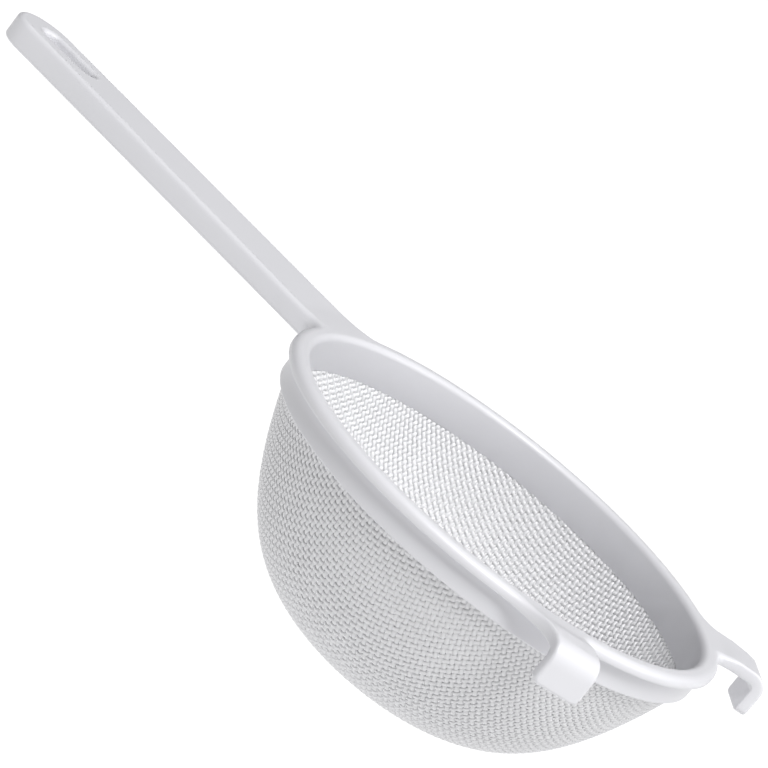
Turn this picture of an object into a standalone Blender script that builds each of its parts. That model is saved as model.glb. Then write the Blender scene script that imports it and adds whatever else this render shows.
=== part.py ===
"""Round plastic sieve strainer: a long handle, a beaded rim with two pot hooks, a clamp band and a
formed bowl of woven mesh.

The ring's axis is Z. The origin is at the bottom of the bowl, +Z points up out of the bowl's mouth,
the handle runs out along -X and the two hooks lie either side of +X. Heights marked "below the rim"
are measured down from the top of the rim.
"""

import math

import bmesh
import bpy
from mathutils import Matrix

MM = 0.001
GAP = 0.3 * MM                     # clearance between pieces that touch
TURN_STEPS = 72                    # facets round every turned piece
ARC_STEPS = 6                      # facets in a quarter turn of an outline

# Driving dimensions
RIM_RADIUS = 70.0 * MM             # outside of the bead
RIM_HEIGHT = 60.3 * MM             # top of the rim above the bottom of the bowl

# Rim ring: a rounded bead with a thin wall hanging from it, inside the mesh
BEAD_HEIGHT = 3.0 * MM
BEAD_INNER_RADIUS = 64.5 * MM
BEAD_EDGE_ROUND = 1.45 * MM
BEAD_LIP_ROUND = 0.9 * MM
WALL_INNER_RADIUS_LOW = 64.3 * MM
WALL_OUTER_RADIUS = 65.3 * MM
WALL_DEPTH = 11.6 * MM
WALL_TIP_THICKNESS = 0.6 * MM
WALL_TAPER_DEPTH = 9.2 * MM        # where the wall starts to thin, below the rim

# Clamp band: the plain collar outside the mesh, below the bead
BAND_OUTER_RADIUS = 67.7 * MM
BAND_THICKNESS = 1.0 * MM
BAND_DEPTH = 9.8 * MM
BAND_EDGE_ROUND = 0.4 * MM

# Mesh bowl: one thin shell, its outer profile a cubic curve from the band down to a small flat
MESH_THICKNESS = 0.8 * MM
MESH_OUTER_RADIUS = 66.4 * MM
MESH_HEM_DEPTH = 4.6 * MM          # top of the clamped hem, below the rim
BOWL_TAPER = (14.7 * MM, 43.8 * MM)  # how far in and down the curve first aims
BOWL_FLOOR_REACH = 35.9 * MM       # how far out from the axis the floor stays level
BOWL_FLAT_RADIUS = 8.0 * MM        # the flat that the forming tool leaves
BOWL_PROFILE_STEPS = 16

# Handle
HANDLE_END = 215.0 * MM            # tip, from the ring's axis
HANDLE_ROOT_WIDTH = 25.0 * MM
HANDLE_TIP_WIDTH = 20.6 * MM       # the tip is a half round of this width
HANDLE_FLARE = 6.0 * MM            # fillet where the handle spreads into the rim
FLARE_STOP = 52                    # degrees: the fillet stops here, short of the rim
FLARE_SPREAD = 0.7                 # how far along the rim the fillet reaches, in its radii
HANDLE_ROOT_THICKNESS = 6.9 * MM
HANDLE_TIP_THICKNESS = 8.6 * MM
HANDLE_EDGE_ROUND = 1.2 * MM

# Hanging slot through the handle
SLOT_CENTRE = 194.5 * MM           # from the ring's axis
SLOT_LENGTH = 23.0 * MM
SLOT_WIDTH = 7.2 * MM

# Pot hooks: a flat arm, a bend and a leg
HOOK_ANGLE = math.radians(40.75)   # each side of +X
HOOK_WIDTH = 13.4 * MM
HOOK_REACH = 86.6 * MM             # outer face of the leg, from the ring's axis
HOOK_RISE = 1.0 * MM               # arm's top above the rim
HOOK_THICKNESS = 3.5 * MM
HOOK_BEND_RADIUS = 5.2 * MM        # outside of the bend
HOOK_DEPTH = 10.9 * MM             # leg's end, below the rim
HOOK_EDGE_ROUND = 0.5 * MM
HOOK_TIP_ROUND = 1.0 * MM          # the leg's end, seen from the side
HOOK_RISE_START = 1.5 * MM         # the arm rises between these distances from the bead
HOOK_RISE_END = 6.0 * MM
HOOK_HAUNCH = 1.8 * MM             # length of the slope below the arm's root

PLASTIC_COLOUR = (0.86, 0.86, 0.87, 1.0)
MESH_COLOUR = (0.82, 0.82, 0.83, 1.0)


def clear_scene():
    for item in list(bpy.data.objects):
        bpy.data.objects.remove(item, do_unlink=True)


def make_collection(name):
    collection = bpy.data.collections.new(name)
    bpy.context.scene.collection.children.link(collection)
    return collection


def make_material(name, colour, roughness):
    material = bpy.data.materials.new(name)
    material.use_nodes = True
    shader = material.node_tree.nodes["Principled BSDF"]
    shader.inputs["Base Color"].default_value = colour
    shader.inputs["Roughness"].default_value = roughness
    shader.inputs["Metallic"].default_value = 0.0
    material.diffuse_color = colour
    return material


def arc(centre, radius, start_degrees, end_degrees, steps=ARC_STEPS):
    """Points of an arc in the plane, both ends included."""
    points = []
    for step in range(steps + 1):
        angle = math.radians(start_degrees + (end_degrees - start_degrees) * step / steps)
        points.append((centre[0] + radius * math.cos(angle), centre[1] + radius * math.sin(angle)))
    return points


def finish_object(item, collection, material):
    collection.objects.link(item)
    item.data.materials.clear()
    item.data.materials.append(material)
    return item


def turned(name, profile, closed, collection, material):
    """A piece of revolution: a profile of (radius, height) points with a Screw modifier."""
    mesh = bpy.data.meshes.new(name)
    edges = [(index, index + 1) for index in range(len(profile) - 1)]
    if closed:
        edges.append((len(profile) - 1, 0))
    mesh.from_pydata([(radius, 0.0, height) for radius, height in profile], edges, [])
    item = finish_object(bpy.data.objects.new(name, mesh), collection, material)
    screw = item.modifiers.new("Turn", "SCREW")
    screw.axis = "Z"
    screw.angle = math.tau
    screw.steps = TURN_STEPS
    screw.render_steps = TURN_STEPS
    screw.use_merge_vertices = True
    screw.merge_threshold = 0.01 * MM
    screw.use_smooth_shade = True
    return item


def extruded(name, outlines, thickness, collection, material, edge_round):
    """A flat outline, with any holes as further outlines, extruded and round-edged."""
    curve = bpy.data.curves.new(name + "_outline", "CURVE")
    curve.dimensions = "2D"
    curve.fill_mode = "BOTH"
    curve.extrude = thickness / 2
    for outline in outlines:
        spline = curve.splines.new("POLY")
        spline.points.add(len(outline) - 1)
        for point, (x, y) in zip(spline.points, outline):
            point.co = (x, y, 0.0, 1.0)
        spline.use_cyclic_u = True
    outline_item = bpy.data.objects.new(name + "_outline", curve)
    collection.objects.link(outline_item)
    depsgraph = bpy.context.evaluated_depsgraph_get()
    mesh = bpy.data.meshes.new_from_object(outline_item.evaluated_get(depsgraph))
    bpy.data.objects.remove(outline_item, do_unlink=True)
    mesh.name = name
    body = bmesh.new()
    body.from_mesh(mesh)
    bmesh.ops.remove_doubles(body, verts=body.verts, dist=0.01 * MM)
    body.to_mesh(mesh)
    body.free()
    item = finish_object(bpy.data.objects.new(name, mesh), collection, material)
    bevel = item.modifiers.new("Rounded edges", "BEVEL")
    bevel.width = edge_round
    bevel.segments = 2
    bevel.limit_method = "ANGLE"
    bevel.angle_limit = math.radians(50)
    mesh.shade_smooth()
    mesh.set_sharp_from_angle(angle=math.radians(40))
    return item


def below_rim(depth):
    return RIM_HEIGHT - depth


def make_rim_ring(collection, material):
    """Bead and inner wall: the profile runs from the lip over the bead and down the wall."""
    outer_round = arc((RIM_RADIUS - BEAD_EDGE_ROUND, below_rim(BEAD_EDGE_ROUND)),
                      BEAD_EDGE_ROUND, 90, 0, 4)
    under_round = arc((RIM_RADIUS - BEAD_EDGE_ROUND, below_rim(BEAD_HEIGHT - BEAD_EDGE_ROUND)),
                      BEAD_EDGE_ROUND, 0, -90, 4)
    wall_bottom = below_rim(WALL_DEPTH)
    wall = [
        (WALL_OUTER_RADIUS, below_rim(BEAD_HEIGHT)),
        (WALL_OUTER_RADIUS, below_rim(WALL_TAPER_DEPTH)),
        (WALL_INNER_RADIUS_LOW + WALL_TIP_THICKNESS, wall_bottom),
        (WALL_INNER_RADIUS_LOW, wall_bottom),
    ]
    lip_round = arc((BEAD_INNER_RADIUS + BEAD_LIP_ROUND, below_rim(BEAD_LIP_ROUND)),
                    BEAD_LIP_ROUND, 180, 90, 3)
    profile = outer_round + under_round + wall + lip_round
    return turned("rim_ring", profile, True, collection, material)


def make_clamp_band(collection, material):
    top = below_rim(BEAD_HEIGHT + GAP)
    bottom = below_rim(BAND_DEPTH)
    inner_radius = BAND_OUTER_RADIUS - BAND_THICKNESS
    edge = arc((BAND_OUTER_RADIUS - BAND_EDGE_ROUND, bottom + BAND_EDGE_ROUND),
               BAND_EDGE_ROUND, 0, -90, 2)
    profile = [(inner_radius, top), (BAND_OUTER_RADIUS, top)] + edge + [(inner_radius, bottom)]
    return turned("clamp_band", profile, True, collection, material)


def bowl_point(t):
    """A point of the bowl's outer profile: t is 0 at the band and 1 on the axis."""
    start = (MESH_OUTER_RADIUS, below_rim(BAND_DEPTH))
    aims = (start[0] - BOWL_TAPER[0], start[1] - BOWL_TAPER[1])
    floor = (BOWL_FLOOR_REACH, 0.0)
    end = (0.0, 0.0)
    weights = ((1 - t) ** 3, 3 * (1 - t) ** 2 * t, 3 * (1 - t) * t ** 2, t ** 3)
    corners = (start, aims, floor, end)
    return tuple(sum(w * corner[axis] for w, corner in zip(weights, corners)) for axis in (0, 1))


def make_mesh_bowl(collection, material):
    """Open profile from the clamped hem to the axis, turned, then thickened inwards."""
    profile = [(MESH_OUTER_RADIUS, below_rim(MESH_HEM_DEPTH))]
    for step in range(BOWL_PROFILE_STEPS + 1):
        radius, height = bowl_point(step / BOWL_PROFILE_STEPS)
        if radius > BOWL_FLAT_RADIUS:
            profile.append((radius, height))
    profile.append((BOWL_FLAT_RADIUS, 0.0))
    profile.append((0.0, 0.0))
    item = turned("mesh_bowl", profile, False, collection, material)
    shell = item.modifiers.new("Cloth thickness", "SOLIDIFY")
    shell.thickness = MESH_THICKNESS
    shell.offset = -1.0
    shell.use_even_offset = True
    return item


def handle_outline():
    """Plan of the handle, from the rim out along -X: flares, sides and a round tip."""
    root = RIM_RADIUS + GAP
    half_root = HANDLE_ROOT_WIDTH / 2
    half_tip = HANDLE_TIP_WIDTH / 2
    # The near edge follows the rim, so that the gap to the bead is even.
    half_angle = math.degrees(math.asin((half_root + FLARE_SPREAD * HANDLE_FLARE) / root))
    rim_side = arc((0.0, 0.0), root, 180 - half_angle, 180 + half_angle, 10)
    flare_low = arc((-root - HANDLE_FLARE, -half_root - HANDLE_FLARE), HANDLE_FLARE,
                    FLARE_STOP, 90, 4)
    tip = arc((-HANDLE_END + half_tip, 0.0), half_tip, 270, 90, 12)
    flare_high = arc((-root - HANDLE_FLARE, half_root + HANDLE_FLARE), HANDLE_FLARE,
                     270, 360 - FLARE_STOP, 4)
    return rim_side + flare_low + tip + flare_high


def slot_outline():
    reach = (SLOT_LENGTH - SLOT_WIDTH) / 2
    radius = SLOT_WIDTH / 2
    outer = arc((-SLOT_CENTRE - reach, 0.0), radius, 90, 270, 8)
    inner = arc((-SLOT_CENTRE + reach, 0.0), radius, 270, 450, 8)
    return outer + inner


def handle_thickness(distance):
    """The handle grows thicker from the rim to its tip."""
    share = (distance - RIM_RADIUS) / (HANDLE_END - RIM_RADIUS)
    return HANDLE_ROOT_THICKNESS + share * (HANDLE_TIP_THICKNESS - HANDLE_ROOT_THICKNESS)


def make_handle(collection, material):
    item = extruded("handle", [handle_outline(), slot_outline()], HANDLE_TIP_THICKNESS,
                    collection, material, HANDLE_EDGE_ROUND)
    for vertex in item.data.vertices:
        if vertex.co.z > 0:
            vertex.co.z = 0.0
        else:
            vertex.co.z = -handle_thickness(-vertex.co.x)
    # The sloping underside leaves some of the rounded edge's faces slightly twisted.
    item.modifiers.new("Flat faces", "TRIANGULATE")
    item.location = (0.0, 0.0, RIM_HEIGHT)
    return item


def hook_outline():
    """Side view of a hook: distance from the ring's axis, and height from the rim's top."""
    root = RIM_RADIUS + GAP
    bend = (HOOK_REACH - HOOK_BEND_RADIUS, HOOK_RISE - HOOK_BEND_RADIUS)
    inner_bend = HOOK_BEND_RADIUS - HOOK_THICKNESS
    leg_inside = HOOK_REACH - HOOK_THICKNESS
    arm_top = [(root, 0.0), (root + HOOK_RISE_START, 0.1 * HOOK_RISE),
               (root + HOOK_RISE_END, HOOK_RISE)]
    leg_tip = arc((HOOK_REACH - HOOK_TIP_ROUND, HOOK_TIP_ROUND - HOOK_DEPTH), HOOK_TIP_ROUND, 0, -90, 2)
    leg_tip += arc((leg_inside + HOOK_TIP_ROUND, HOOK_TIP_ROUND - HOOK_DEPTH), HOOK_TIP_ROUND, 270, 180, 2)
    arm_under = [(root + HOOK_HAUNCH, HOOK_RISE - HOOK_THICKNESS), (root, -BEAD_HEIGHT)]
    return (arm_top + arc(bend, HOOK_BEND_RADIUS, 90, 0) + leg_tip
            + arc(bend, inner_bend, 0, 90, 3) + arm_under)


def make_hook(name, side, collection, material):
    """The outline is extruded across the hook, stood upright and turned to its place."""
    item = extruded(name, [hook_outline()], HOOK_WIDTH, collection, material, HOOK_EDGE_ROUND)
    upright = Matrix.Rotation(math.radians(90), 4, "X")
    turn = Matrix.Rotation(side * HOOK_ANGLE, 4, "Z")
    item.matrix_world = Matrix.Translation((0.0, 0.0, RIM_HEIGHT)) @ turn @ upright
    return item


def main():
    clear_scene()
    strainer = make_collection("sieve_strainer")
    plastic = make_material("white_moulded_plastic", PLASTIC_COLOUR, 0.35)
    netting = make_material("woven_nylon_mesh", MESH_COLOUR, 0.45)
    make_rim_ring(strainer, plastic)
    make_clamp_band(strainer, plastic)
    make_mesh_bowl(strainer, netting)
    make_handle(strainer, plastic)
    make_hook("hook_left", 1, strainer, plastic)
    make_hook("hook_right", -1, strainer, plastic)


main()
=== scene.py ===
# %% [markdown]
# # A white plastic sieve strainer
# A hand strainer has one injection-moulded frame, with a ring, a long handle and two pot hooks, and
# one disc of woven nylon that is formed into a bowl and clamped under the ring by a plain band.
# This lesson makes three things: the frame as one smooth skin, the band as a turned ring, and the
# bowl as real threads that pass over and under each other.
#
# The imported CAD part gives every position. Its pieces stay as the fixed frame, and each piece made
# here stands for some of them.

# %% Load the fixed frame
import math

import bmesh
import bpy
import numpy as np
from mathutils import Matrix, Vector
from mathutils.geometry import delaunay_2d_cdt


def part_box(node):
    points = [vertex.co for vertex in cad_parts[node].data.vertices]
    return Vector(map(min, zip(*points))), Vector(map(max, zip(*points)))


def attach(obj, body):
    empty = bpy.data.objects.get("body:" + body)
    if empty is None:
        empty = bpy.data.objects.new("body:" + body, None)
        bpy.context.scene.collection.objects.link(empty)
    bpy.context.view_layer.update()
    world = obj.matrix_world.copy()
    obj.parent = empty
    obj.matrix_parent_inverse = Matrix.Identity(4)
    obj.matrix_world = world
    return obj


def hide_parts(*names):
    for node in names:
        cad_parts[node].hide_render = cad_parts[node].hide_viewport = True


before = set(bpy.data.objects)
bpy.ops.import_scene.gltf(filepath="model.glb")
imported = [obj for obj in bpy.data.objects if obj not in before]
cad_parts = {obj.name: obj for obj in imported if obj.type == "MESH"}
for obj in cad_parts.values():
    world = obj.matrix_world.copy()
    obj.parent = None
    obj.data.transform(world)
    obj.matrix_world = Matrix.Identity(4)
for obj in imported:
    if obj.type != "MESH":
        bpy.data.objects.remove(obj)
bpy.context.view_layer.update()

MM = 0.001
ring_low, ring_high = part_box("rim_ring")
handle_low, handle_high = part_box("handle")
band_low, band_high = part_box("clamp_band")
cloth_low, cloth_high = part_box("mesh_bowl")

RING_RADIUS = ring_high.x / MM
RIM_TOP = ring_high.z / MM
HANDLE_REACH = -handle_low.x / MM
print("ring radius", round(RING_RADIUS, 2), "mm, rim top at", round(RIM_TOP, 2), "mm")
print("handle tip at", round(HANDLE_REACH, 2), "mm from the ring's axis")

# %% [markdown]
# ## Plan outline of the frame
# Seen from above, the ring's edge, the handle and the two hooks share one closed outline. Each arm
# leaves the ring through a concave fillet, because molten plastic flows badly round a sharp corner
# and a sharp corner cracks. A fillet that touches both the ring and a straight side has its centre
# one fillet radius outside each of them, so its place comes from Pythagoras.
#
# The whole outline could be drawn as a Bezier curve by hand. Arcs and straight lines from a few
# radii are easier to change, and their tangents meet exactly. Lengths here are in millimetres.

# %% Arcs, and an arm with its two fillets
FILLET_STEPS = 9


def arc(centre, radius, start, end, steps):
    """Points on an arc from one angle to another, in degrees, with both ends."""
    angles = np.radians(np.linspace(start, end, steps + 1))
    return [(centre[0] + radius * math.cos(a), centre[1] + radius * math.sin(a)) for a in angles]


def fillet_centre(half_width, radius):
    """Centre of a fillet that touches the ring and the side of an arm along +X."""
    across = half_width + radius
    along = math.sqrt((RING_RADIUS + radius) ** 2 - across ** 2)
    return along, across


def arm_outline(half_width, fillet_right, fillet_left, tip, spacing):
    """Anticlockwise outline of an arm along +X, from the ring out round the tip and back."""
    along, across = fillet_centre(half_width, fillet_right)
    swing = math.degrees(math.atan2(across, along))
    points = arc((along, -across), fillet_right, 180 - swing, 90, FILLET_STEPS)
    first, last = tip[0], tip[-1]
    steps = max(2, round((first[0] - along) / spacing))
    points += [(along + (first[0] - along) * k / steps, -half_width) for k in range(1, steps)]
    points += tip
    along, across = fillet_centre(half_width, fillet_left)
    swing = math.degrees(math.atan2(across, along))
    steps = max(2, round((last[0] - along) / spacing))
    points += [(last[0] + (along - last[0]) * k / steps, half_width) for k in range(1, steps)]
    points += arc((along, across), fillet_left, 270, 180 + swing, FILLET_STEPS)
    return points


def turned_by(points, degrees):
    c, s = math.cos(math.radians(degrees)), math.sin(math.radians(degrees))
    return [(c * x - s * y, s * x + c * y) for x, y in points]


# %% [markdown]
# ## The handle's and the hooks' own sizes
# The handle is 25 mm wide at the ring and narrows to a round tip. Its slot hangs on a hook. Each
# pot hook is drawn flat, as if its leg were not bent down yet, because a flat strip is easy to
# outline. A later step bends it, in the way that a bar is bent round a former.

# %% Handle and hook outlines
HANDLE_HALF_WIDTH = 12.5
HANDLE_TIP_HALF_WIDTH = 10.3
HANDLE_FILLET = 6.0
TIP_ROUND = 10.8
NARROWING = ((1 - HANDLE_TIP_HALF_WIDTH / HANDLE_HALF_WIDTH)
             / (HANDLE_REACH - TIP_ROUND - RING_RADIUS))

HOOK_ANGLE = 40.75
HOOK_HALF_WIDTH = 6.7
HOOK_FILLETS = (16.0, 3.0)        # on the handle's side, and between the hooks
HOOK_CORNER = 1.6
HOOK_REACH = 86.6
HOOK_RISE = 1.0
HOOK_END_BELOW = 10.9
HOOK_THICKNESS = 3.5
FLANGE = 3.0                      # thickness of the ring's bead, where the hooks start
BEND_OUTSIDE = 5.2
BEND_MIDDLE = BEND_OUTSIDE - HOOK_THICKNESS / 2
BEND_LENGTH = math.pi / 2 * BEND_MIDDLE
BEND_START = HOOK_REACH - BEND_OUTSIDE
LEG_LENGTH = HOOK_END_BELOW + HOOK_RISE - BEND_OUTSIDE
HOOK_FLAT_REACH = BEND_START + BEND_LENGTH + LEG_LENGTH

# Distances between outline points.
HANDLE_SPACING = 2.5
HOOK_SPACING = 0.7                # close, because the hooks bend
HOOK_TIP_POINTS = (-2.2, 0.0, 2.2)
RING_SPACING = 2.5                # degrees


def narrowed(points):
    """Tapers the handle's sides from the ring to the tip."""
    return [(x, y * (1 - NARROWING * max(0.0, x - RING_RADIUS))) for x, y in points]


tip_centre = HANDLE_REACH - TIP_ROUND
handle_tip = [(tip_centre + TIP_ROUND * math.cos(a), HANDLE_HALF_WIDTH * math.sin(a))
              for a in np.radians(np.linspace(-90, 90, 25))]
handle_plan = narrowed(arm_outline(HANDLE_HALF_WIDTH, HANDLE_FILLET, HANDLE_FILLET, handle_tip,
                                   HANDLE_SPACING))
corner_x = HOOK_FLAT_REACH - HOOK_CORNER
corner_y = HOOK_HALF_WIDTH - HOOK_CORNER
hook_tip = arc((corner_x, -corner_y), HOOK_CORNER, -90, 0, 5)
hook_tip += [(HOOK_FLAT_REACH, y) for y in HOOK_TIP_POINTS]
hook_tip += arc((corner_x, corner_y), HOOK_CORNER, 0, 90, 5)
hook_left_plan = arm_outline(HOOK_HALF_WIDTH, HOOK_FILLETS[1], HOOK_FILLETS[0], hook_tip,
                             HOOK_SPACING)
hook_right_plan = arm_outline(HOOK_HALF_WIDTH, HOOK_FILLETS[0], HOOK_FILLETS[1], hook_tip,
                              HOOK_SPACING)


def ring_between(start, end):
    """Points on the ring's edge between two outline points, without either of them."""
    a = math.degrees(math.atan2(start[1], start[0]))
    b = math.degrees(math.atan2(end[1], end[0]))
    if b < a:
        b += 360
    return arc((0, 0), RING_RADIUS, a, b, max(2, round((b - a) / RING_SPACING)))[1:-1]


arms = [turned_by(hook_right_plan, -HOOK_ANGLE), turned_by(hook_left_plan, HOOK_ANGLE),
        turned_by(handle_plan, 180)]
outline = []
for position, arm in enumerate(arms):
    following = arms[(position + 1) % len(arms)]
    outline += arm + ring_between(arm[-1], following[0])
outline = np.array(outline)
print("outline points:", len(outline))

# %% [markdown]
# ## Edge rounding
# A moulded edge is never sharp. Rings of points are stacked round the outline: each is the outline
# moved inwards and set at its own depth, so that together they make a quarter round above and
# below. The inward direction at a point is square to the line between its two neighbours. The
# ring's bead is rounded most. The handle and the hooks have flat faces with tighter edges.

# %% Outline loops, moved inwards
BEAD_ROUND = (2.3, 1.7)           # how far in, and how deep
HANDLE_ROUND = 1.7
HOOK_ROUND = 0.8
UNDER_ROUND = 0.5
HANDLE_BACK = -0.9 * RING_RADIUS  # points behind this belong to the handle's arm
BLEND_LENGTH = 7.0                # the bead's shape fades into an arm's over this length


def inward(points):
    ahead = np.roll(points, -1, axis=0) - np.roll(points, 1, axis=0)
    ahead /= np.linalg.norm(ahead, axis=1)[:, None]
    return np.stack([-ahead[:, 1], ahead[:, 0]], axis=1)


outline_in = inward(outline)
on_handle = outline[:, 0] < HANDLE_BACK
past_ring = np.linalg.norm(outline, axis=1) - RING_RADIUS
arm_share = np.clip(past_ring / BLEND_LENGTH, 0, 1)
arm_round = np.where(on_handle, HANDLE_ROUND, HOOK_ROUND)
round_in = BEAD_ROUND[0] + (arm_round - BEAD_ROUND[0]) * arm_share
round_down = BEAD_ROUND[1] + (arm_round - BEAD_ROUND[1]) * arm_share
print("rounding", round(round_in.min(), 2), "to", round(round_in.max(), 2), "mm wide")

# %% [markdown]
# ## The deep part of the handle
# The ring's bead is 3 mm thick. The handle is deeper: 6.9 mm at the ring and 8.6 mm at its tip. Its
# straight sides run on under the flared flange into the clamp band, so the deep part has an outline
# of its own below the flange. Where the flange's edge is already over the deep part's side, the two
# outlines share their points.

# %% Depths and the deep part's outline
HANDLE_DEPTH_ROOT = 6.9
HANDLE_DEPTH_TIP = 8.6
DEEP_ROUND = 1.0
DEEP_END_RADIUS = 67.2


def handle_half_width(distance):
    return HANDLE_HALF_WIDTH * (1 - NARROWING * np.maximum(0.0, distance - RING_RADIUS))


def handle_depth(distance):
    share = np.clip((distance - RING_RADIUS) / (HANDLE_REACH - RING_RADIUS), 0, 1)
    return HANDLE_DEPTH_ROOT + share * (HANDLE_DEPTH_TIP - HANDLE_DEPTH_ROOT)


past_side = np.abs(outline[:, 1]) - handle_half_width(-outline[:, 0])
shared = on_handle & (past_side < UNDER_ROUND)
print("outline points over the handle's deep part:", int(shared.sum()))


# %% [markdown]
# ## A skin from loops
# Blender's fill tools close a flat region, but they choose their own triangles. A constrained
# Delaunay fill keeps the rim of each region, avoids slivers, and takes extra points inside, which
# the hooks need so that they can bend.

# %% Loops, walls and flat fills
skin = bmesh.new()


def add_loop(points, depth):
    depths = np.broadcast_to(depth, (len(points),))
    return [skin.verts.new((x, y, z)) for (x, y), z in zip(points, depths)]


def join_loops(upper, lower):
    """Wall between two closed loops with as many points, the second below or outside the first."""
    for k in range(len(upper)):
        follow = (k + 1) % len(upper)
        corners = [upper[k], lower[k], lower[follow], upper[follow]]
        distinct = [v for n, v in enumerate(corners) if v not in corners[:n]]
        if len(distinct) > 2:
            skin.faces.new(distinct)


def inside(polygon, points):
    """Even-odd test of many points against one closed polygon."""
    crossings = np.zeros(len(points), int)
    following = np.roll(polygon, -1, axis=0)
    for (x1, y1), (x2, y2) in zip(polygon, following):
        spans = (y1 > points[:, 1]) != (y2 > points[:, 1])
        if spans.any():
            reach = x1 + (points[:, 1] - y1) * (x2 - x1) / ((y2 - y1) or 1e-12)
            crossings += spans & (points[:, 0] < reach)
    return crossings % 2 == 1


def fill_region(border, holes, extra_points, depth, faces_up):
    """Flat fill between a border loop and hole loops of skin vertices."""
    vertices = list(border)
    edges = []
    for loop in [border] + holes:
        if loop is not border:
            vertices += loop
        start = len(vertices) - len(loop)
        edges += [(start + k, start + (k + 1) % len(loop)) for k in range(len(loop))]
    vertices += [skin.verts.new((x, y, depth)) for x, y in extra_points]
    flat = [Vector((v.co.x, v.co.y)) for v in vertices]
    result = delaunay_2d_cdt(flat, edges, [], 0, 1e-5)
    origin = [source[0] if source else None for source in result[3]]
    triangles = [t for t in result[2] if all(origin[c] is not None for c in t)]
    centres = np.array([[sum(result[0][c][axis] for c in t) / 3 for axis in (0, 1)] for t in triangles])
    keep = inside(np.array([v.co.xy for v in border]), centres)
    for loop in holes:
        keep &= ~inside(np.array([v.co.xy for v in loop]), centres)
    for triangle, wanted in zip(triangles, keep):
        if wanted:
            corners = [vertices[origin[c]] for c in triangle]
            skin.faces.new(corners if faces_up else corners[::-1])


# %% [markdown]
# ## Inner wall and slot
# Inside the ring a thin smooth wall hangs down 11.6 mm, and the woven bowl starts just below it.
# The slot near the handle's tip has generously rounded lips, so a cord or a peg slides in.

# %% Loops of the upper side
LIP_ROUND = 1.8
INNER_RADIUS = 64.5
WALL_FOOT_RADIUS = 64.6
WALL_OUTSIDE = 65.7
WALL_FOOT = 11.6
SLOT_HALF_WIDTH = 3.4
SLOT_HALF_LENGTH = 11.0
SLOT_CENTRE = HANDLE_REACH - 20.5
SLOT_LIP = 1.6
ROUND_STEPS = 5
RING_STEPS = 144
MARGIN = 0.3                      # narrow flat strip beside each rounded edge


def circle(radius):
    return np.array(arc((0, 0), radius, 0, 360, RING_STEPS)[:-1])


def slot_plan(grow):
    """Slot outline, anticlockwise, grown outwards by a distance."""
    straight = SLOT_HALF_LENGTH - SLOT_HALF_WIDTH
    radius = SLOT_HALF_WIDTH + grow
    ends = arc((-SLOT_CENTRE + straight, 0), radius, -90, 90, 12)
    ends += [(-SLOT_CENTRE + straight * k, radius) for k in (0.5, 0.0, -0.5)]
    ends += arc((-SLOT_CENTRE - straight, 0), radius, 90, 270, 12)
    ends += [(-SLOT_CENTRE + straight * k, -radius) for k in (-0.5, 0.0, 0.5)]
    return np.array(ends)


quarter = [math.pi / 2 * k / ROUND_STEPS for k in range(ROUND_STEPS + 1)]

# Outer edge: a flat margin, then a quarter round down to the side.
edge_loops = [add_loop(outline + outline_in * (round_in + MARGIN)[:, None], 0.0)]
for angle in quarter:
    moved = outline + outline_in * (round_in * (1 - math.sin(angle)))[:, None]
    edge_loops.append(add_loop(moved, -round_down * (1 - math.cos(angle))))

# Lip of the bowl's mouth, then the wall down to its foot and up again outside.
mouth_loops = [add_loop(circle(INNER_RADIUS + LIP_ROUND + MARGIN), 0.0)]
for angle in quarter:
    mouth_loops.append(add_loop(circle(INNER_RADIUS + LIP_ROUND * (1 - math.sin(angle))),
                                -LIP_ROUND * (1 - math.cos(angle))))
FOOT_ROUND = 0.3
FOOT_MIDDLE = 0.09                # how far the middle of that quarter round is from its corner
FOOT_SLOPE = 0.4                  # the hem slides on over a sloped outer edge
SLOPE_LENGTH = 2.6
wall_section = [(WALL_FOOT_RADIUS, WALL_FOOT - FOOT_ROUND),
                (WALL_FOOT_RADIUS + FOOT_MIDDLE, WALL_FOOT - FOOT_MIDDLE),
                (WALL_FOOT_RADIUS + FOOT_ROUND, WALL_FOOT),
                (WALL_OUTSIDE - 2 * FOOT_SLOPE, WALL_FOOT),
                (WALL_OUTSIDE - FOOT_SLOPE, WALL_FOOT - FOOT_SLOPE),
                (WALL_OUTSIDE, WALL_FOOT - SLOPE_LENGTH),
                (WALL_OUTSIDE, FLANGE)]
for radius, depth in wall_section:
    mouth_loops.append(add_loop(circle(radius), -depth))

# Slot: rounded lip, then straight sides.
slot_loops = [add_loop(slot_plan(SLOT_LIP + MARGIN), 0.0)]
for angle in quarter:
    slot_loops.append(add_loop(slot_plan(SLOT_LIP * (1 - math.sin(angle))),
                               -SLOT_LIP * (1 - math.cos(angle))))
print("loops:", len(edge_loops), "outside,", len(mouth_loops), "inside,", len(slot_loops), "in the slot")

# %% [markdown]
# ## Close the skin
# The upper face lies between the outline, the mouth and the slot. Extra points go in rows across
# each hook. Below, the ring and the flares end on a flat underside, and the handle's deep part
# hangs from it with its own rounded edges.

# %% Upper face
FIRST_ROW_PAST_RING = 1.0
LAST_ROW_BEFORE_END = 2.0
HOOK_COLUMNS = (-3.2, -1.6, 0.0, 1.6, 3.2)
hook_rows = []
for x in np.arange(RING_RADIUS + FIRST_ROW_PAST_RING, HOOK_FLAT_REACH - LAST_ROW_BEFORE_END,
                   HOOK_SPACING):
    hook_rows += [(x, y) for y in HOOK_COLUMNS]
extra = turned_by(hook_rows, HOOK_ANGLE) + turned_by(hook_rows, -HOOK_ANGLE)
fill_region(edge_loops[0], [mouth_loops[0], slot_loops[0]], extra, 0.0, True)

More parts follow.
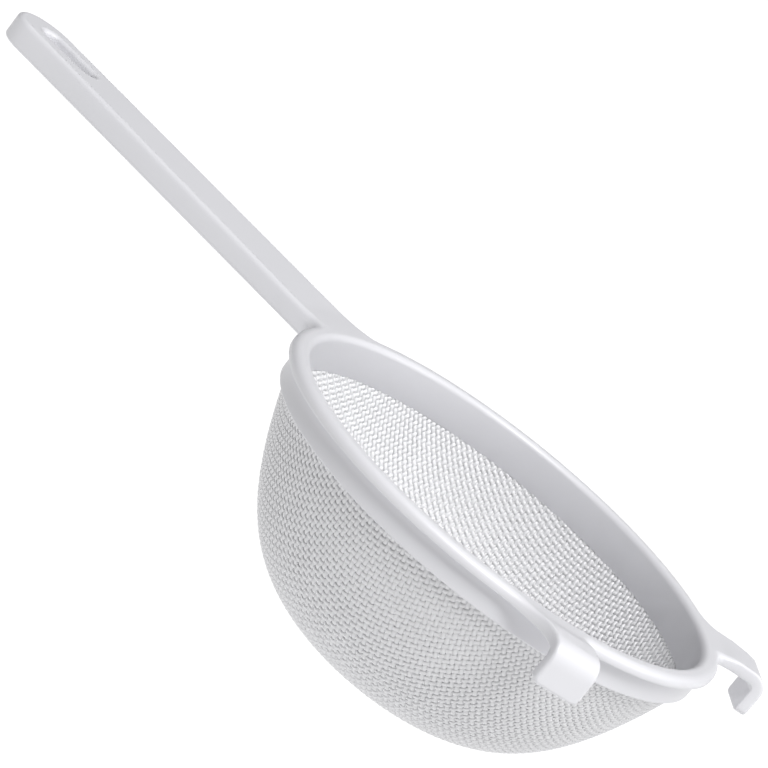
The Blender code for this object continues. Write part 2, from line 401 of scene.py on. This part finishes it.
# %% Lower side of the flange
under_round = np.where(on_handle, np.clip(past_side, 0.0, UNDER_ROUND), UNDER_ROUND)
for angle in quarter[1:]:
    moved = outline + outline_in * (under_round * (1 - math.cos(angle)))[:, None]
    flange_depth = FLANGE - UNDER_ROUND * (1 - math.sin(angle))
    edge_loops.append(add_loop(moved, -flange_depth))
for upper, lower in zip(edge_loops, edge_loops[1:]):
    join_loops(upper, lower)
for upper, lower in zip(mouth_loops, mouth_loops[1:]):
    join_loops(lower, upper)

# %% Deep part of the handle
under_loop = edge_loops[-1]
first_shared = next(k for k in range(len(shared)) if shared[k] and not shared[k - 1])
shared_run = []
k = first_shared
while shared[k % len(shared)]:
    shared_run.append(k % len(shared))
    k += 1
deep_corner = math.sqrt(DEEP_END_RADIUS ** 2 - HANDLE_HALF_WIDTH ** 2)
start_x = under_loop[shared_run[0]].co.x
end_angle = math.degrees(math.asin(HANDLE_HALF_WIDTH / DEEP_END_RADIUS))
run_in = [(start_x + (-deep_corner - start_x) * t, HANDLE_HALF_WIDTH) for t in (1.0, 0.66, 0.33)]
run_out = [(x, -y) for x, y in reversed(run_in)]
closing_arc = arc((0, 0), DEEP_END_RADIUS, 180 + end_angle, 180 - end_angle, 10)[1:-1]
run_in_verts = add_loop(run_in, -FLANGE)
run_out_verts = add_loop(run_out, -FLANGE)
closing_verts = add_loop(closing_arc, -FLANGE)
shared_verts = [under_loop[k] for k in shared_run]
deep_loop = run_in_verts + shared_verts + run_out_verts + closing_verts
rest = [under_loop[k % len(under_loop)]
        for k in range(shared_run[-1] + 1, shared_run[0] + len(under_loop))]
flat_border = rest + [shared_verts[0]] + run_in_verts[::-1] + closing_verts[::-1]
flat_border += run_out_verts[::-1] + [shared_verts[-1]]
fill_region(flat_border, [mouth_loops[-1]], extra, -FLANGE, False)

deep_plan = np.array([v.co.xy for v in deep_loop])
deep_in = inward(deep_plan)
deep_depth = handle_depth(-deep_plan[:, 0])
deep_loops = [deep_loop]
for angle in quarter:
    moved = deep_plan + deep_in * (DEEP_ROUND * (1 - math.cos(angle)))
    deep_loops.append(add_loop(moved, -(deep_depth - DEEP_ROUND * (1 - math.sin(angle)))))
for upper, lower in zip(deep_loops, deep_loops[1:]):
    join_loops(upper, lower)

slot_plan_now = slot_plan(0.0)
slot_depth = handle_depth(-slot_plan_now[:, 0])
for angle in quarter:
    grown = slot_plan(DEEP_ROUND * (1 - math.cos(angle)))
    slot_loops.append(add_loop(grown, -(slot_depth - DEEP_ROUND * (1 - math.sin(angle)))))
for upper, lower in zip(slot_loops, slot_loops[1:]):
    join_loops(lower, upper)
fill_region(deep_loops[-1], [slot_loops[-1]], [], 0.0, False)
open_edges = sum(1 for e in skin.edges if not e.is_manifold)
print("skin:", len(skin.verts), "points,", len(skin.faces), "faces,", open_edges, "open edges")

# %% [markdown]
# ## Bend the hooks
# A point's distance along its hook says whether it's still on the flat arm, in the bend or on the
# leg. In the bend, distance becomes an angle round the former, and the point's depth in the plate
# stays its depth. The arms also rise and thicken a little from the ring, and the handle's top sits
# a little lower than the rim.

# %% Shape the arms
HANDLE_TOP_DROP = 0.5
DROP_LENGTH = 10.0


def smooth(value):
    value = min(1.0, max(0.0, value))
    return value * value * (3 - 2 * value)


def bent(along, depth):
    """Where a point of a flat hook goes: along the hook, and up or down."""
    past = along - BEND_START
    radius = BEND_OUTSIDE + depth
    if past <= 0:
        return along, depth
    angle = min(past / BEND_MIDDLE, math.pi / 2)
    down = max(0.0, past - BEND_LENGTH)
    return (BEND_START + radius * math.sin(angle),
            radius * math.cos(angle) - BEND_OUTSIDE - down)


for vert in skin.verts:
    x, y, z = vert.co
    radius = math.hypot(x, y)
    if x < HANDLE_BACK and z > -FLANGE * 0.9:
        lowered = HANDLE_TOP_DROP * smooth((radius - RING_RADIUS) / DROP_LENGTH)
        vert.co.z = z - lowered * (1 + z / FLANGE)
    elif x > 0 and radius > RING_RADIUS:
        side = 1 if y > 0 else -1
        angle = math.radians(side * HOOK_ANGLE)
        along = x * math.cos(angle) + y * math.sin(angle)
        across = -x * math.sin(angle) + y * math.cos(angle)
        fade = smooth((radius - RING_RADIUS) / BLEND_LENGTH)
        rise = HOOK_RISE * fade
        swell = 1 + (HOOK_THICKNESS / FLANGE - 1) * fade
        along, height = bent(along, z * swell)
        vert.co = (along * math.cos(angle) - across * math.sin(angle),
                   along * math.sin(angle) + across * math.cos(angle), height + rise)


def to_mesh_object(work, name):
    """Closes a work mesh in millimetres, measured from the rim's top, as a placed object."""
    bmesh.ops.remove_doubles(work, verts=work.verts, dist=0.002)
    for vert in work.verts:
        vert.co = Vector((vert.co.x, vert.co.y, vert.co.z + RIM_TOP)) * MM
    mesh = bpy.data.meshes.new(name)
    work.to_mesh(mesh)
    work.free()
    mesh.shade_smooth()
    item = bpy.data.objects.new(name, mesh)
    bpy.context.scene.collection.objects.link(item)
    return item


bmesh.ops.remove_doubles(skin, verts=skin.verts, dist=0.002)
open_edges = sum(1 for e in skin.edges if not e.is_manifold)
moulded_frame = to_mesh_object(skin, "moulded_frame")
print("moulded frame:", len(moulded_frame.data.polygons), "faces,", open_edges, "open edges")

# %% [markdown]
# ## The clamp band
# The band is a plain turned ring, pushed up over the bowl's hem. A fine dark gap stays between it
# and the bead. A profile with a Screw modifier would do, but the section is simple enough to sweep
# in the same loops as the frame.

# %% Turned band
BAND_RADIUS = band_high.x / MM
BAND_TOP = FLANGE + 0.35
BAND_FOOT = RIM_TOP - band_low.z / MM
BAND_WALL = 0.95
BAND_ROUND = 0.35                 # of the outer edge at the foot
TOP_ROUND = 0.25
EDGE_MARGIN = 0.35                # straight strip beside each rounded edge


def turned_ring(name, section, steps=RING_STEPS):
    """Closed section of (radius, depth) points, swept once round the axis."""
    work = bmesh.new()
    rows = []
    for k in range(steps):
        angle = 2 * math.pi * k / steps
        rows.append([work.verts.new((r * math.cos(angle), r * math.sin(angle), -d))
                     for r, d in section])
    for k in range(steps):
        here, there = rows[k], rows[(k + 1) % steps]
        for n in range(len(section)):
            m = (n + 1) % len(section)
            work.faces.new((here[n], here[m], there[m], there[n]))
    bmesh.ops.recalc_face_normals(work, faces=work.faces)
    return to_mesh_object(work, name)


foot_arc = [(r, -d) for r, d in arc((BAND_RADIUS - BAND_ROUND, -(BAND_FOOT - BAND_ROUND)),
                                    BAND_ROUND, 0, -90, 4)]
top_arc = [(r, -d) for r, d in arc((BAND_RADIUS - TOP_ROUND, -(BAND_TOP + TOP_ROUND)),
                                   TOP_ROUND, 90, 0, 3)]
band_section = [(BAND_RADIUS - BAND_WALL, BAND_TOP)] + top_arc
band_section += [(BAND_RADIUS, BAND_TOP + TOP_ROUND + EDGE_MARGIN),
                 (BAND_RADIUS, BAND_FOOT - BAND_ROUND - EDGE_MARGIN)]
band_section += foot_arc + [(BAND_RADIUS - BAND_WALL, BAND_FOOT)]
clamp_ring = turned_ring("clamp_ring", band_section)
print("clamp ring:", len(clamp_ring.data.polygons), "faces")

# %% [markdown]
# ## The woven bowl
# The bowl starts as a flat disc of plain-woven nylon monofilament. Heat and a former turn it into
# a bowl: lengths along a line from the centre stay nearly the same, and threads crowd together
# round the wall. So each thread starts here as a straight line in the flat disc, and a rule moves
# its points: distance from the centre becomes length along the bowl's profile, and the direction
# from the centre stays. A thread also waves over and under those that cross it.
#
# Thousands of crossings follow one rule, which is what Geometry Nodes is for. Its tree lays out the
# threads of one family, shapes them, and gives them a round section.

# %% A helper for nodes


def add_node(tree, kind, settings=None, inputs=None):
    """Adds one node. Settings are its properties; each input takes a value or another's output."""
    node = tree.nodes.new(kind)
    for key, value in (settings or {}).items():
        setattr(node, key, value)
    for key, value in (inputs or {}).items():
        if isinstance(value, bpy.types.NodeSocket):
            tree.links.new(value, node.inputs[key])
        else:
            node.inputs[key].default_value = value
    return node


# %% [markdown]
# ### The tree
# Named inputs hold the sizes. The bowl's profile is one Bezier segment from the centre of the floor
# to the band, and Sample Curve reads its place and its direction at any length.

# %% Inputs and the bowl's profile
PROFILE_STEPS = 64
weave = bpy.data.node_groups.new("thread_family", "GeometryNodeTree")
weave.interface.new_socket("Geometry", in_out="OUTPUT", socket_type="NodeSocketGeometry")
for label, kind in (("Spacing", "Float"), ("Thread width", "Float"), ("Thread thickness", "Float"),
                    ("Wave", "Float"), ("First thread", "Int"), ("Threads", "Int"),
                    ("Half length", "Int"), ("Along", "Float"), ("Across", "Float"),
                    ("Reach", "Float"), ("Centre", "Vector"), ("Floor", "Vector"),
                    ("Wall", "Vector"), ("Edge", "Vector"), ("Material", "Material")):
    weave.interface.new_socket(label, in_out="INPUT", socket_type="NodeSocket" + kind)
sizes = add_node(weave, "NodeGroupInput").outputs
profile = add_node(weave, "GeometryNodeCurvePrimitiveBezierSegment", None,
                   {"Resolution": PROFILE_STEPS, "Start": sizes["Centre"], "Start Handle": sizes["Floor"],
                    "End Handle": sizes["Wall"], "End": sizes["Edge"]}).outputs[0]
profile_length = add_node(weave, "GeometryNodeCurveLength", None, {0: profile}).outputs[0]

# %% [markdown]
# ### Straight threads first
# One thread lies along X, with four points from each crossing to the next. Copies of it lie on a row
# of points along Y.

# %% One thread, and a copy on each row
POINTS_PER_CROSSING = 4
half = add_node(weave, "ShaderNodeMath", {"operation": "MULTIPLY"},
                {0: sizes["Half length"], 1: sizes["Spacing"]}).outputs[0]
minus_half = add_node(weave, "ShaderNodeMath", {"operation": "MULTIPLY"}, {0: half, 1: -1.0}).outputs[0]
near_end = add_node(weave, "ShaderNodeCombineXYZ", None, {0: minus_half}).outputs[0]
far_end = add_node(weave, "ShaderNodeCombineXYZ", None, {0: half}).outputs[0]
thread = add_node(weave, "GeometryNodeCurvePrimitiveLine", None,
                  {"Start": near_end, "End": far_end}).outputs[0]
points_on_thread = add_node(weave, "ShaderNodeMath", {"operation": "MULTIPLY_ADD"},
                            {0: sizes["Half length"], 1: 2.0 * POINTS_PER_CROSSING,
                             2: 1.0}).outputs[0]
thread = add_node(weave, "GeometryNodeResampleCurve", {"mode": "COUNT"},
                  {"Curve": thread, "Count": points_on_thread}).outputs[0]
first_row = add_node(weave, "ShaderNodeMath", {"operation": "MULTIPLY"},
                     {0: sizes["First thread"], 1: sizes["Spacing"]}).outputs[0]
row_start = add_node(weave, "ShaderNodeCombineXYZ", None, {1: first_row}).outputs[0]
row_step = add_node(weave, "ShaderNodeCombineXYZ", None, {1: sizes["Spacing"]}).outputs[0]
rows = add_node(weave, "GeometryNodeMeshLine", {"mode": "OFFSET"},
                {"Count": sizes["Threads"], "Start Location": row_start, "Offset": row_step}).outputs[0]
cloth = add_node(weave, "GeometryNodeInstanceOnPoints", None,
                 {"Points": rows, "Instance": thread}).outputs[0]
cloth = add_node(weave, "GeometryNodeRealizeInstances", None, {0: cloth}).outputs[0]

# %% [markdown]
# ### From the flat disc to the bowl
# The two families don't cross exactly square, because forming pulls the cloth askew. Each has an
# angle along its threads and an angle across them. A point's place in the disc is its distance along
# its thread in the first direction plus its row's distance in the second.

# %% Place in the disc, and the spot on the profile
flat = add_node(weave, "ShaderNodeSeparateXYZ", None,
                {0: add_node(weave, "GeometryNodeInputPosition").outputs[0]}).outputs
parts = []
for way, share in (("Along", flat[0]), ("Across", flat[1])):
    cosine = add_node(weave, "ShaderNodeMath", {"operation": "COSINE"}, {0: sizes[way]}).outputs[0]
    sine = add_node(weave, "ShaderNodeMath", {"operation": "SINE"}, {0: sizes[way]}).outputs[0]
    heading = add_node(weave, "ShaderNodeCombineXYZ", None, {0: cosine, 1: sine}).outputs[0]
    parts.append(add_node(weave, "ShaderNodeVectorMath", {"operation": "SCALE"},
                          {0: heading, "Scale": share}).outputs[0])
on_disc = add_node(weave, "ShaderNodeVectorMath", {"operation": "ADD"},
                   {0: parts[0], 1: parts[1]}).outputs[0]
distance = add_node(weave, "ShaderNodeVectorMath", {"operation": "LENGTH"}, {0: on_disc}).outputs[1]
outwards = add_node(weave, "ShaderNodeVectorMath", {"operation": "NORMALIZE"},
                    {0: on_disc}).outputs[0]
sample = add_node(weave, "GeometryNodeSampleCurve", {"mode": "LENGTH", "use_all_curves": False},
                  {"Curves": profile, "Length": distance})
spot = add_node(weave, "ShaderNodeSeparateXYZ", None, {0: sample.outputs["Position"]}).outputs
slope = add_node(weave, "ShaderNodeSeparateXYZ", None, {0: sample.outputs["Tangent"]}).outputs

# %% [markdown]
# ### Over and under
# The wave is a cosine that changes sign from one crossing to the next and from one thread to the
# next: that is plain weave. It moves a point along the bowl's own normal. Past the end of the
# profile a thread goes straight up into the clamp, as the hem.

# %% Wave, normal and place on the bowl
wave = sizes["Wave"]
for share in (flat[0], flat[1]):
    half_turns = add_node(weave, "ShaderNodeMath", {"operation": "DIVIDE"},
                          {0: share, 1: sizes["Spacing"]}).outputs[0]
    angle = add_node(weave, "ShaderNodeMath", {"operation": "MULTIPLY"},
                     {0: half_turns, 1: math.pi}).outputs[0]
    cosine = add_node(weave, "ShaderNodeMath", {"operation": "COSINE"}, {0: angle}).outputs[0]
    wave = add_node(weave, "ShaderNodeMath", {"operation": "MULTIPLY"}, {0: wave, 1: cosine}).outputs[0]
normal_out = add_node(weave, "ShaderNodeVectorMath", {"operation": "SCALE"},
                      {0: outwards, "Scale": slope[2]}).outputs[0]
normal_down = add_node(weave, "ShaderNodeCombineXYZ", None, {2: slope[0]}).outputs[0]
normal = add_node(weave, "ShaderNodeVectorMath", {"operation": "SUBTRACT"},
                  {0: normal_out, 1: normal_down}).outputs[0]
past_edge = add_node(weave, "ShaderNodeMath", {"operation": "SUBTRACT"},
                     {0: distance, 1: profile_length}).outputs[0]
hem = add_node(weave, "ShaderNodeMath", {"operation": "MAXIMUM"}, {0: past_edge, 1: 0.0}).outputs[0]
height = add_node(weave, "ShaderNodeMath", {"operation": "ADD"}, {0: spot[2], 1: hem}).outputs[0]
on_bowl = add_node(weave, "ShaderNodeCombineXYZ", None, {2: height}).outputs[0]
for direction, amount in ((outwards, spot[0]), (normal, wave)):
    moved = add_node(weave, "ShaderNodeVectorMath", {"operation": "SCALE"},
                     {0: direction, "Scale": amount}).outputs[0]
    on_bowl = add_node(weave, "ShaderNodeVectorMath", {"operation": "ADD"},
                       {0: on_bowl, 1: moved}).outputs[0]

# %% Keep the results on the points, trim and move
too_far = add_node(weave, "ShaderNodeMath", {"operation": "GREATER_THAN"},
                   {0: distance, 1: sizes["Reach"]}).outputs[0]
kept = add_node(weave, "GeometryNodeCaptureAttribute", {"domain": "POINT"}, {0: cloth})
for label, kind, value in (("on bowl", "VECTOR", on_bowl), ("normal", "VECTOR", normal),
                           ("too far", "FLOAT", too_far)):
    kept.capture_items.new(kind, label)
    weave.links.new(value, kept.inputs[label])
cloth = add_node(weave, "GeometryNodeDeleteGeometry", {"domain": "POINT"},
                 {"Geometry": kept.outputs[0], "Selection": kept.outputs["too far"]}).outputs[0]
cloth = add_node(weave, "GeometryNodeSetPosition", None,
                 {"Geometry": cloth, "Position": kept.outputs["on bowl"]}).outputs[0]
cloth = add_node(weave, "GeometryNodeSetCurveNormal", {"mode": "FREE"},
                 {"Curve": cloth, "Normal": kept.outputs["normal"]}).outputs[0]

# %% [markdown]
# ### Section of a thread
# Calendering presses the crossings flat, so a thread is wider than it is thick. The section is a
# circle 1 across that is scaled both ways, its X along the bowl's normal. Six sides are enough for
# a thread a little over a millimetre wide.

# %% Thread section and output
SIDES = 6
section = add_node(weave, "GeometryNodeCurvePrimitiveCircle", {"mode": "RADIUS"},
                   {"Resolution": SIDES, "Radius": 0.5}).outputs[0]
section_size = add_node(weave, "ShaderNodeCombineXYZ", None,
                        {0: sizes["Thread thickness"], 1: sizes["Thread width"], 2: 1.0}).outputs[0]
section = add_node(weave, "GeometryNodeTransform", None, {0: section, "Scale": section_size}).outputs[0]
tubes = add_node(weave, "GeometryNodeCurveToMesh", None,
                 {"Curve": cloth, "Profile Curve": section, "Fill Caps": True}).outputs[0]
tubes = add_node(weave, "GeometryNodeSetShadeSmooth", None, {0: tubes}).outputs[0]
tubes = add_node(weave, "GeometryNodeRealizeInstances", None, {0: tubes}).outputs[0]
tubes = add_node(weave, "GeometryNodeSetMaterial", None,
                 {"Geometry": tubes, "Material": sizes["Material"]}).outputs[0]
add_node(weave, "NodeGroupOutput", None, {0: tubes})
print("thread tree:", len(weave.nodes), "nodes")

# %% [markdown]
# ## Materials
# White homopolymer polypropylene, injection moulded in a polished tool with a fine satin finish:
# soft broad highlights on a pale, cool white. Nylon monofilament, drawn and then heat-set: smooth
# and slightly glossy, so each crossing has its own small highlight. Real plastics also let light a
# little way in. That is left out here.

# %% Colours and materials


def linear(hex_colour):
    """sRGB hex to linear RGBA."""
    parts = [int(hex_colour[k:k + 2], 16) / 255 for k in (1, 3, 5)]
    parts = [c / 12.92 if c <= 0.04045 else ((c + 0.055) / 1.055) ** 2.4 for c in parts]
    return (*parts, 1.0)


def new_material(name):
    material = bpy.data.materials.new(name)
    material.use_nodes = True
    tree = material.node_tree
    return material, tree, tree.nodes["Principled BSDF"]


# Flow marks about 2 cm across tint the plastic, and a grain under a millimetre makes it satin.
plastic, tree, shader = new_material("polypropylene_white_moulded")
shader.inputs["IOR"].default_value = 1.49
shader.inputs["Metallic"].default_value = 0.0
place = add_node(tree, "ShaderNodeTexCoord").outputs["Object"]
flow = add_node(tree, "ShaderNodeTexNoise", None,
                {"Scale": 45.0, "Detail": 3.0, "Vector": place}).outputs[0]
tint = add_node(tree, "ShaderNodeMix", {"data_type": "RGBA"},
                {0: flow, 6: linear("#D6D6DA"), 7: linear("#DADADE")}).outputs[2]
grain = add_node(tree, "ShaderNodeTexNoise", None,
                 {"Scale": 1400.0, "Detail": 2.0, "Vector": place}).outputs[0]
rough = add_node(tree, "ShaderNodeMapRange", None, {0: grain, 3: 0.32, 4: 0.44}).outputs[0]
bump = add_node(tree, "ShaderNodeBump", None,
                {"Strength": 0.06, "Distance": 0.00005, "Height": grain}).outputs[0]
for label, value in (("Base Color", tint), ("Roughness", rough), ("Normal", bump)):
    tree.links.new(value, shader.inputs[label])

# Patches of several millimetres, a few threads wide, differ slightly in tint and gloss.
nylon, tree, shader = new_material("nylon_monofilament_woven")
shader.inputs["IOR"].default_value = 1.53
shader.inputs["Metallic"].default_value = 0.0
place = add_node(tree, "ShaderNodeTexCoord").outputs["Object"]
batch = add_node(tree, "ShaderNodeTexNoise", None,
                 {"Scale": 160.0, "Detail": 2.0, "Vector": place}).outputs[0]
tint = add_node(tree, "ShaderNodeMix", {"data_type": "RGBA"},
                {0: batch, 6: linear("#D9D9DB"), 7: linear("#E0E0E2")}).outputs[2]
rough = add_node(tree, "ShaderNodeMapRange", None, {0: batch, 3: 0.28, 4: 0.45}).outputs[0]
for label, value in (("Base Color", tint), ("Roughness", rough)):
    tree.links.new(value, shader.inputs[label])
moulded_frame.data.materials.append(plastic)
clamp_ring.data.materials.append(plastic)
print("materials:", plastic.name, nylon.name)

# %% [markdown]
# ## Weave the bowl
# The threads lie 1.73 mm apart in the flat disc. One family runs nearly along the handle and the
# other nearly across it. Each family is made in three pieces, to keep every piece light.

# %% Threads
THREAD_SPACING = 1.73
THREAD_WIDTH = 1.30
THREAD_THICKNESS = 0.56
THREAD_WAVE = 0.22
FIRST_WAY = 1.0
SECOND_WAY = 101.0
skew = math.cos(math.radians(SECOND_WAY - FIRST_WAY - 90))
row_spacing = THREAD_SPACING / skew

# The profile that the CAD bowl has, moved in by half the cloth's thickness.
WALL_AIM_IN, WALL_AIM_DOWN = 14.7, 43.8
FLOOR_REACH = 35.9
HEM_LENGTH = 1.6
CLOTH_INSET = 0.30                # the cloth starts this far inside the CAD bowl
CLOTH_EDGE = cloth_high.x / MM
CLOTH_EDGE_HEIGHT = band_low.z / MM
middle = THREAD_WAVE + THREAD_THICKNESS / 2
AIM_INSET, AIM_LIFT = 0.8, 0.5    # the wall's handle moves by these shares of the middle
start = Vector((0, 0, middle))
floor_aim = Vector((FLOOR_REACH, 0, middle))
wall_aim = Vector((CLOTH_EDGE - WALL_AIM_IN - middle * AIM_INSET, 0,
                   CLOTH_EDGE_HEIGHT - WALL_AIM_DOWN + middle * AIM_LIFT))
edge = Vector((CLOTH_EDGE - CLOTH_INSET - middle, 0, CLOTH_EDGE_HEIGHT))


def profile_arc_length():
    """Length of the bowl's profile from the floor's centre to the band."""
    steps = np.linspace(0, 1, 400)[:, None]
    path = ((1 - steps) ** 3 * np.array(start) + 3 * (1 - steps) ** 2 * steps * np.array(floor_aim)
            + 3 * (1 - steps) * steps ** 2 * np.array(wall_aim) + steps ** 3 * np.array(edge))
    return float(np.linalg.norm(np.diff(path, axis=0), axis=1).sum())


reach = profile_arc_length() + HEM_LENGTH
rows_each_side = int(reach / THREAD_SPACING) + 1
print("profile length", round(reach, 1), "mm,", 2 * rows_each_side + 1, "threads each way")


def weave_part(name, along, across, wave, first, count):
    """Runs the tree for some threads of one family and keeps the result as a plain mesh."""
    carrier = bpy.data.objects.new(name + "_rule", bpy.data.meshes.new(name + "_rule"))
    bpy.context.scene.collection.objects.link(carrier)
    modifier = carrier.modifiers.new("Weave", "NODES")
    modifier.node_group = weave
    values = {"Spacing": row_spacing * MM, "Thread width": THREAD_WIDTH * MM,
              "Thread thickness": THREAD_THICKNESS * MM, "Wave": wave * MM,
              "First thread": first, "Threads": count, "Half length": rows_each_side + 2,
              "Along": math.radians(along), "Across": math.radians(across), "Reach": reach * MM,
              "Centre": start * MM, "Floor": floor_aim * MM, "Wall": wall_aim * MM,
              "Edge": edge * MM, "Material": nylon}
    for socket in weave.interface.items_tree:
        if socket.in_out == "INPUT":
            modifier[socket.identifier] = values[socket.name]
    depsgraph = bpy.context.evaluated_depsgraph_get()
    mesh = bpy.data.meshes.new_from_object(carrier.evaluated_get(depsgraph), depsgraph=depsgraph)
    bpy.data.objects.remove(carrier, do_unlink=True)
    mesh.name = name
    item = bpy.data.objects.new(name, mesh)
    bpy.context.scene.collection.objects.link(item)
    mesh.calc_loop_triangles()
    print(name, len(mesh.loop_triangles), "triangles")
    return item


PIECES = 3                        # pieces per family
total = 2 * rows_each_side + 1
rows_per_piece = math.ceil(total / PIECES)
threads = []
for name, along, across, wave in (("warp", FIRST_WAY, SECOND_WAY, THREAD_WAVE),
                                  ("weft", SECOND_WAY, FIRST_WAY, -THREAD_WAVE)):
    for number in range(PIECES):
        first = number * rows_per_piece
        threads.append(weave_part(f"{name}_{number + 1}", along, across, wave,
                                  first - rows_each_side, min(rows_per_piece, total - first)))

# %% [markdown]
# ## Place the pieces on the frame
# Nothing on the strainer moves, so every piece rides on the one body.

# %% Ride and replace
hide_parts("rim_ring", "handle", "hook_left", "hook_right")
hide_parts("clamp_band")
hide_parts("mesh_bowl")
for piece in [moulded_frame, clamp_ring]:
    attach(piece, "root")
for piece in threads:
    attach(piece, "root")

# %% [markdown]
# ## Studio
# A white sweep, one large soft lamp high beyond one hook, and a weaker and lower one beyond the
# other. The floor glows as a light table does, so the strainer throws almost no shadow on it.

# %% Floor and lights
scene = bpy.context.scene
scene.view_settings.view_transform = "Standard"
world = bpy.data.worlds.new("white_room")
scene.world = world
world.use_nodes = True
world.node_tree.nodes["Background"].inputs["Color"].default_value = linear("#FFFFFF")
world.node_tree.nodes["Background"].inputs["Strength"].default_value = 0.07

floor_mesh = bpy.data.meshes.new("floor")
FLOOR_HALF = 6.0
FLOOR_HEIGHT = -0.0005
floor_mesh.from_pydata([(x * FLOOR_HALF, y * FLOOR_HALF, FLOOR_HEIGHT)
                        for x, y in ((-1, -1), (1, -1), (1, 1), (-1, 1))], [], [(0, 1, 2, 3)])
floor = bpy.data.objects.new("floor", floor_mesh)
scene.collection.objects.link(floor)
paper, tree, shader = new_material("paper_sweep_white")
shader.inputs["Base Color"].default_value = linear("#606060")
shader.inputs["Roughness"].default_value = 0.9
shader.inputs["Emission Color"].default_value = linear("#FFFFFF")
shader.inputs["Emission Strength"].default_value = 0.98
floor_mesh.materials.append(paper)


def soft_lamp(name, azimuth, elevation, distance, size, power):
    """Square area lamp aimed at the bowl. Azimuth is measured from +X, in degrees."""
    data = bpy.data.lights.new(name, "AREA")
    data.size = size
    data.energy = power
    lamp = bpy.data.objects.new(name, data)
    scene.collection.objects.link(lamp)
    a, e = math.radians(azimuth), math.radians(elevation)
    aim = Vector((0, 0, RIM_TOP * MM / 2))
    lamp.location = aim + distance * Vector((math.cos(a) * math.cos(e), math.sin(a) * math.cos(e),
                                             math.sin(e)))
    lamp.rotation_euler = (lamp.location - aim).to_track_quat("Z", "Y").to_euler()


LAMP_DISTANCE = 3.0
LAMP_SIZE = 1.6
soft_lamp("key", -50, 63, LAMP_DISTANCE, LAMP_SIZE, 103.0)
soft_lamp("side", 30, 36, LAMP_DISTANCE, LAMP_SIZE, 36.0)

# %% [markdown]
# ## Camera
# A long lens a little above the rim, turned so that the handle points to the upper left corner.

# %% Camera
VIEW_AZIMUTH = 26.74
VIEW_ELEVATION = 14.02
VIEW_ROLL = 38.6
VIEW_DISTANCE = 12.0              # ring radii
AIM = (-0.4702, 0.424)            # ring radii right of and above the mouth's centre
LENS = 151.25
turn = (Matrix.Rotation(math.radians(VIEW_AZIMUTH), 3, "Z")
        @ Matrix.Rotation(math.radians(90 - VIEW_ELEVATION), 3, "X")
        @ Matrix.Rotation(math.radians(VIEW_ROLL), 3, "Z"))
camera_data = bpy.data.cameras.new("camera")
camera_data.lens = LENS
camera_data.sensor_width = 36.0
camera_data.clip_start = 0.01
camera = bpy.data.objects.new("camera", camera_data)
offset = turn @ Vector((AIM[0], AIM[1], VIEW_DISTANCE)) * (RING_RADIUS * MM)
camera.matrix_world = Matrix.Translation(Vector((0, 0, RIM_TOP * MM)) + offset) @ turn.to_4x4()
scene.collection.objects.link(camera)
scene.camera = camera
